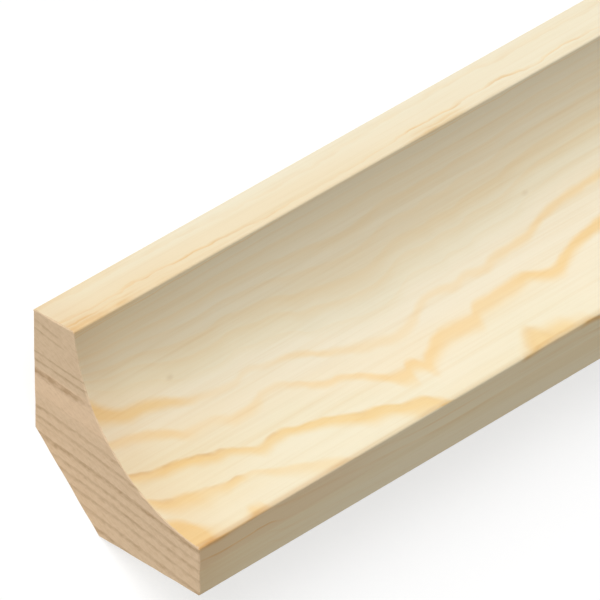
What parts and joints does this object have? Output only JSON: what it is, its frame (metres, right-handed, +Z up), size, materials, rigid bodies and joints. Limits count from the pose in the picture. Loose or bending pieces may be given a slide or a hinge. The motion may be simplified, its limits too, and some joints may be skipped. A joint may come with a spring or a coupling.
{
  "type": "scotia moulding",
  "caption": "Straight length of concave wooden trim moulding with two flat lips and a cut-off back corner, for covering an inside corner. It lies on the cut with its cove facing up.",
  "frame": {"origin": "the middle of the cut-off corner's face, which the moulding lies on", "axes": "+X along the length, +Y towards the wall leg, -Y towards the floor leg, +Z up out of the cove"},
  "size_m": [2.4, 0.0394, 0.017],
  "materials": {
    "pine": "matte"
  },
  "bodies": {
    "root": {"scotia_moulding": "pine"}
  },
  "joints": []
}
